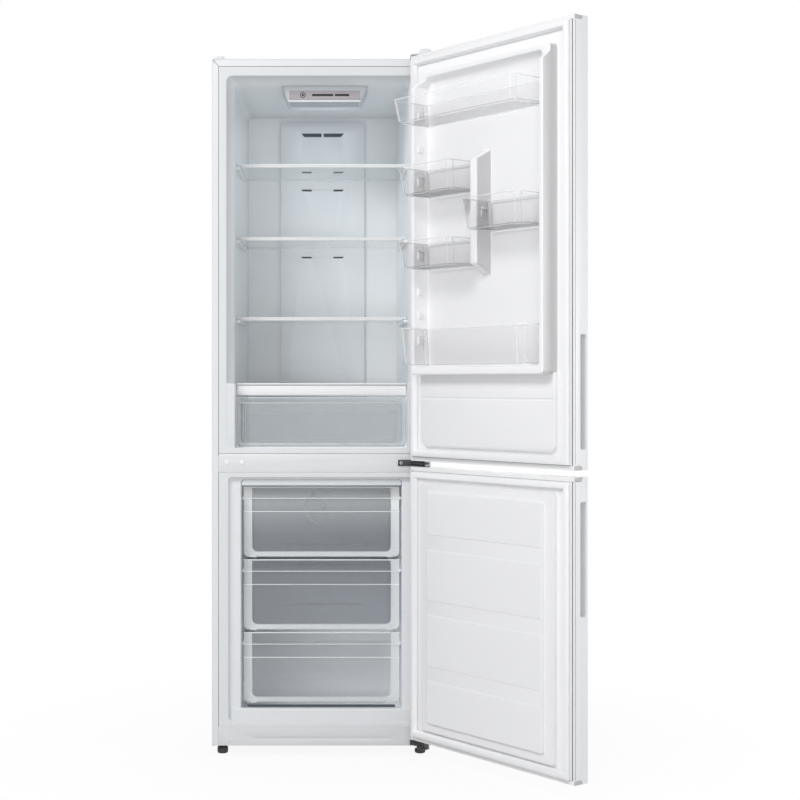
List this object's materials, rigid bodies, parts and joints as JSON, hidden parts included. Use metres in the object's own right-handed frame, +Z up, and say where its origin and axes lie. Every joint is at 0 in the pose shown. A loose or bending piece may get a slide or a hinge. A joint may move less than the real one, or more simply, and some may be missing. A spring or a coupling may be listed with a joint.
{
  "type": "bottom freezer refrigerator",
  "caption": "Tall free-standing refrigerator with a freezer below, both doors hung on the right and open, with glass shelves, door bins, a crisper and clear pull-out freezer drawers.",
  "frame": {"origin": "on the floor under the centre of the left front foot", "axes": "+X to the right seen from the front, +Y from the front to the back, +Z up"},
  "size_m": [0.9406, 1.0979, 1.9096],
  "materials": {
    "case_paint": "smooth white enamel",
    "galvanised_steel": "dull zinc coated sheet",
    "foam": "closed cell foam",
    "liner": "vacuum formed, satin gloss",
    "door_liner": "vacuum formed, satin gloss",
    "white_plastic": "fine satin",
    "grey_plastic": "fine satin",
    "black_plastic": "matt",
    "gasket": "soft matt",
    "clear_plastic": "polished, see-through",
    "shelf_glass": "clear float glass",
    "lens": "polished",
    "black_steel": "satin black",
    "zinc_steel": "bright zinc",
    "aluminium": "mill finish"
  },
  "bodies": {
    "cabinet": {"cabinet_shell": "case_paint", "back_panel": "galvanised_steel", "base_pan": "galvanised_steel", "cabinet_insulation": "foam", "fridge_liner": "liner", "freezer_liner": "liner", "mid_crossbar": "white_plastic", "kick_panel": "white_plastic", "top_hole_cover": "white_plastic", "control_panel_housing": "white_plastic", "control_panel_lens": "lens", "fridge_duct_cover": "white_plastic", "crisper_cover_glass": "shelf_glass", "crisper_cover_trim": "white_plastic", "freezer_top_trim": "white_plastic", "evaporator_cover": "white_plastic", "evaporator": "aluminium", "fan_motor": "black_plastic", "compressor": "black_steel", "evaporation_tray": "black_plastic", "machine_cover": "black_plastic", "top_hinge": "zinc_steel", "top_hinge_cover": "white_plastic", "middle_hinge": "black_steel", "bottom_hinge": "black_steel", "middle_hinge_screw": "zinc_steel"},
    "fan": {"evaporator_fan": "black_plastic"},
    "left_foot": {"left_front_foot": "black_plastic"},
    "right_foot": {"right_front_foot": "black_plastic"},
    "left_roller": {"left_rear_roller": "black_plastic"},
    "right_roller": {"right_rear_roller": "black_plastic"},
    "lower_shelf": {"lower_shelf_glass": "shelf_glass", "lower_shelf_trim": "white_plastic"},
    "middle_shelf": {"middle_shelf_glass": "shelf_glass", "middle_shelf_trim": "white_plastic"},
    "upper_shelf": {"upper_shelf_glass": "shelf_glass", "upper_shelf_trim": "white_plastic"},
    "crisper": {"crisper_drawer": "clear_plastic"},
    "lower_drawer": {"lower_freezer_drawer": "clear_plastic"},
    "middle_drawer": {"middle_freezer_drawer": "clear_plastic"},
    "upper_drawer": {"upper_freezer_drawer": "clear_plastic"},
    "fridge_door": {"fridge_door_skin": "case_paint", "fridge_door_top_cap": "grey_plastic", "fridge_door_bottom_cap": "grey_plastic", "fridge_door_insulation": "foam", "fridge_door_liner": "door_liner", "fridge_door_gasket": "gasket", "fridge_door_handle_cup": "grey_plastic"},
    "top_door_tray": {"top_door_bin": "clear_plastic"},
    "upper_half_tray": {"upper_half_bin": "clear_plastic"},
    "middle_half_tray": {"middle_half_bin": "clear_plastic"},
    "lower_half_tray": {"lower_half_bin": "clear_plastic"},
    "bottom_door_tray": {"bottom_door_bin": "clear_plastic"},
    "freezer_door": {"freezer_door_skin": "case_paint", "freezer_door_top_cap": "grey_plastic", "freezer_door_bottom_cap": "grey_plastic", "freezer_door_insulation": "foam", "freezer_door_liner": "door_liner", "freezer_door_gasket": "gasket", "freezer_door_handle_cup": "grey_plastic"}
  },
  "joints": [
    {"name": "fridge_door_swing", "type": "hinge", "parent": "cabinet", "child": "fridge_door", "pos_m": [0.5445, -0.068, 1.34722], "axis": [0, 0, 1], "range_deg": [-128, 7]},
    {"name": "freezer_door_swing", "type": "hinge", "parent": "cabinet", "child": "freezer_door", "pos_m": [0.5445, -0.068, 0.41927], "axis": [0, 0, 1], "range_deg": [-128, 7]},
    {"name": "top_door_bin_lift", "type": "slide", "parent": "fridge_door", "child": "top_door_tray", "axis": [0, 0, 1], "range_m": [0, 0.04]},
    {"name": "upper_half_bin_lift", "type": "slide", "parent": "fridge_door", "child": "upper_half_tray", "axis": [0, 0, 1], "range_m": [0, 0.04]},
    {"name": "middle_half_bin_lift", "type": "slide", "parent": "fridge_door", "child": "middle_half_tray", "axis": [0, 0, 1], "range_m": [0, 0.04]},
    {"name": "lower_half_bin_lift", "type": "slide", "parent": "fridge_door", "child": "lower_half_tray", "axis": [0, 0, 1], "range_m": [0, 0.04]},
    {"name": "bottom_door_bin_lift", "type": "slide", "parent": "fridge_door", "child": "bottom_door_tray", "axis": [0, 0, 1], "range_m": [0, 0.04]},
    {"name": "lower_shelf_pull", "type": "slide", "parent": "cabinet", "child": "lower_shelf", "axis": [0, -1, 0], "range_m": [0, 0.12]},
    {"name": "middle_shelf_pull", "type": "slide", "parent": "cabinet", "child": "middle_shelf", "axis": [0, -1, 0], "range_m": [0, 0.12]},
    {"name": "upper_shelf_pull", "type": "slide", "parent": "cabinet", "child": "upper_shelf", "axis": [0, -1, 0], "range_m": [0, 0.12]},
    {"name": "crisper_pull", "type": "slide", "parent": "cabinet", "child": "crisper", "axis": [0, -1, 0], "range_m": [0, 0.3]},
    {"name": "lower_drawer_pull", "type": "slide", "parent": "cabinet", "child": "lower_drawer", "axis": [0, -1, 0], "range_m": [0, 0.25]},
    {"name": "middle_drawer_pull", "type": "slide", "parent": "cabinet", "child": "middle_drawer", "axis": [0, -1, 0], "range_m": [0, 0.3]},
    {"name": "upper_drawer_pull", "type": "slide", "parent": "cabinet", "child": "upper_drawer", "axis": [0, -1, 0], "range_m": [0, 0.3]},
    {"name": "left_foot_turn", "type": "hinge", "parent": "cabinet", "child": "left_foot", "pos_m": [0, 0, 0.02], "axis": [0, 0, 1], "range_deg": [-360, 360]},
    {"name": "right_foot_turn", "type": "hinge", "parent": "cabinet", "child": "right_foot", "pos_m": [0.54, 0, 0.02], "axis": [0, 0, 1], "range_deg": [-360, 360]},
    {"name": "left_roller_spin", "type": "hinge", "parent": "cabinet", "child": "left_roller", "pos_m": [-0.0015, 0.506, 0.015], "axis": [1, 0, 0], "continuous": true},
    {"name": "right_roller_spin", "type": "hinge", "parent": "cabinet", "child": "right_roller", "pos_m": [0.5415, 0.506, 0.015], "axis": [1, 0, 0], "continuous": true},
    {"name": "fan_spin", "type": "hinge", "parent": "cabinet", "child": "fan", "pos_m": [0.27, 0.395, 0.644], "axis": [0, 1, 0], "continuous": true}
  ]
}
